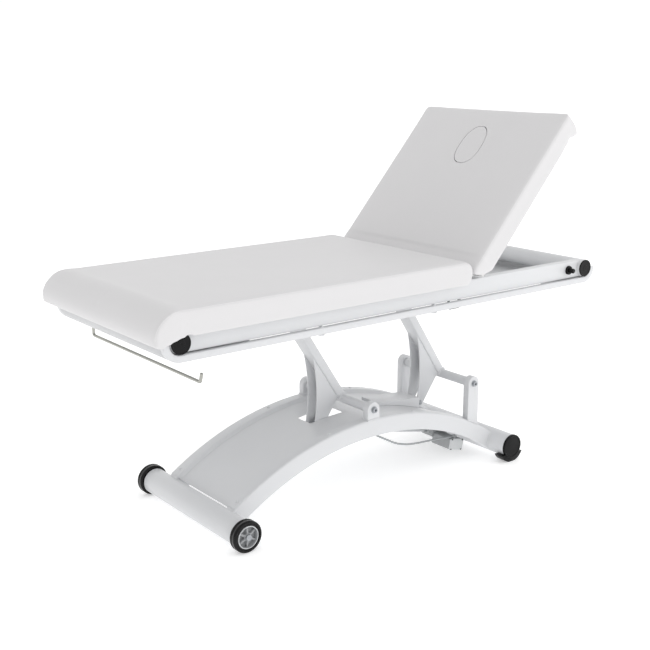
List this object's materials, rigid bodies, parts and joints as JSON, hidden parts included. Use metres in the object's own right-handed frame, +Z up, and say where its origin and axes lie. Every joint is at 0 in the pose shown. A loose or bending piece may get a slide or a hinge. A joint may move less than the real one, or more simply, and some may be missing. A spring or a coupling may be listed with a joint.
{
  "type": "facial treatment bed",
  "caption": "White padded facial and massage bed on a motorised parallelogram lift over an arched wheeled base, with a tilting backrest and a lift-out face-hole pad.",
  "frame": {"origin": "on the floor, under the middle of the bounding box of the bed as shown (lift up, backrest raised)", "axes": "+X towards the head end (backrest), +Z up, +Y to the left of a person lying face up"},
  "size_m": [1.805, 0.7, 1.231],
  "materials": {
    "frame_white": "satin powder coat",
    "base_white": "satin powder coat",
    "cushion_white": "smooth satin synthetic leather",
    "board": "plain plywood",
    "black_plastic": "moulded, satin",
    "tyre_black": "glossy smooth tread",
    "hub_grey": "moulded grey",
    "steel": "zinc plated",
    "stainless": "polished stainless",
    "actuator_grey": "moulded dark grey",
    "cover_grey": "moulded light grey",
    "rod_alu": "satin drawn",
    "cable_grey": "smooth cable jacket",
    "blackened": "blackened steel",
    "bumper": "moulded rubber"
  },
  "bodies": {
    "base": {"base_rail_right": "base_white", "base_rail_left": "base_white", "base_wheel_tube": "base_white", "base_foot_tube": "base_white", "base_feet": "black_plastic", "cover_panel": "base_white", "link_hood": "base_white", "panel_screws": "steel", "short_brackets": "base_white", "tall_brackets": "base_white", "pivot_bolts": "blackened", "actuator_clevis": "base_white", "actuator_rear_pin": "steel", "control_box": "black_plastic", "actuator_cable": "cable_grey", "axle_bolts": "steel"},
    "wheel_right": {"wheel_tyre_right": "tyre_black", "wheel_hub_right": "hub_grey"},
    "wheel_left": {"wheel_tyre_left": "tyre_black", "wheel_hub_left": "hub_grey"},
    "foot_arm_body": {"foot_arm": "base_white", "foot_arm_levers": "base_white", "foot_lever_pin": "blackened"},
    "head_arm_body": {"head_arm": "base_white", "head_arm_levers": "base_white", "head_lever_pin": "blackened"},
    "tie_bar_body": {"tie_bars": "steel"},
    "actuator_body": {"actuator_housing": "actuator_grey", "actuator_tube": "rod_alu", "actuator_motor": "actuator_grey", "motor_end_cover": "cover_grey"},
    "actuator_rod_body": {"actuator_rod": "rod_alu"},
    "top_frame": {"side_rail_right": "frame_white", "side_rail_left": "frame_white", "edge_strip_right": "frame_white", "edge_strip_left": "frame_white", "foot_tube": "frame_white", "head_tube": "frame_white", "tube_plugs": "black_plastic", "foot_apron": "frame_white", "head_apron": "frame_white", "strip_screws": "blackened", "lift_crossbars": "frame_white", "gas_crossbar": "frame_white", "pivot_pins": "steel", "frame_lugs": "frame_white", "rest_bumpers": "bumper", "seat_board": "board", "seat_cushion": "cushion_white", "paper_bar": "stainless", "knob_flange": "black_plastic", "gas_cylinder": "blackened"},
    "knob_body": {"clamp_knob": "black_plastic"},
    "release_body": {"release_lever": "blackened"},
    "backrest": {"backrest_frame": "frame_white", "backrest_cross_tubes": "frame_white", "backrest_board": "board", "backrest_cushion": "cushion_white"},
    "face_plug_body": {"face_plug": "cushion_white"},
    "gas_rod_body": {"gas_rod": "stainless"}
  },
  "joints": [
    {"name": "lift", "type": "hinge", "parent": "base", "child": "foot_arm_body", "pos_m": [-0.0145, 0, 0.297], "axis": [0, -1, 0], "range_deg": [0, 31.5]},
    {"name": "head_arm_pivot", "type": "hinge", "parent": "base", "child": "head_arm_body", "pos_m": [0.4505, 0, 0.297], "axis": [0, -1, 0], "range_deg": [-1, 32.5]},
    {"name": "frame_level", "type": "hinge", "parent": "foot_arm_body", "child": "top_frame", "pos_m": [-0.25735, 0, 0.66391], "axis": [0, -1, 0], "range_deg": [-32.5, 1]},
    {"name": "tie_bar_pivot", "type": "hinge", "parent": "foot_arm_body", "child": "tie_bar_body", "pos_m": [-0.1215, 0, 0.207], "axis": [0, -1, 0], "range_deg": [-32.5, 1]},
    {"name": "actuator_tilt", "type": "hinge", "parent": "base", "child": "actuator_body", "pos_m": [0.5065, 0, 0.07], "axis": [0, -1, 0], "range_deg": [-4, 4]},
    {"name": "actuator_stroke", "type": "slide", "parent": "actuator_body", "child": "actuator_rod_body", "axis": [-0.977, 0, 0.2131], "range_m": [-0.07039, 0.002]},
    {"name": "backrest_tilt", "type": "hinge", "parent": "top_frame", "child": "backrest", "pos_m": [0.3308, 0, 0.705], "axis": [0, -1, 0], "range_deg": [-48.3, 14.7]},
    {"name": "gas_stroke", "type": "slide", "parent": "top_frame", "child": "gas_rod_body", "axis": [0.9999, 0, -0.0163], "range_m": [-0.0456, 0.01527]},
    {"name": "face_plug_lift", "type": "slide", "parent": "backrest", "child": "face_plug_body", "axis": [-0.7466, 0, 0.6652], "range_m": [0, 0.12]},
    {"name": "knob_press", "type": "slide", "parent": "top_frame", "child": "knob_body", "axis": [0, 1, 0], "range_m": [0, 0.006], "stiffness_N_per_m": 600, "springref_m": -0.002},
    {"name": "release_pull", "type": "hinge", "parent": "top_frame", "child": "release_body", "pos_m": [0.2285, 0, 0.668], "axis": [0, -1, 0], "range_deg": [0, 15], "stiffness_Nm_per_rad": 1.2, "springref_deg": -8.59},
    {"name": "wheel_spin_right", "type": "hinge", "parent": "base", "child": "wheel_right", "pos_m": [-0.5855, 0, 0.05], "axis": [0, 1, 0], "continuous": true},
    {"name": "wheel_spin_left", "type": "hinge", "parent": "base", "child": "wheel_left", "pos_m": [-0.5855, 0, 0.05], "axis": [0, 1, 0], "continuous": true}
  ],
  "couplings": [
    {"joint": "head_arm_pivot", "follows": "lift", "ratio": 1},
    {"joint": "frame_level", "follows": "lift", "ratio": -1},
    {"joint": "tie_bar_pivot", "follows": "lift", "ratio": -1},
    {"joint": "actuator_stroke", "follows": "lift", "m_per_rad": -0.1244},
    {"joint": "gas_stroke", "follows": "backrest_tilt", "m_per_rad": 0.051722},
    {"joint": "actuator_tilt", "follows": "lift", "ratio": 0.097798}
  ]
}
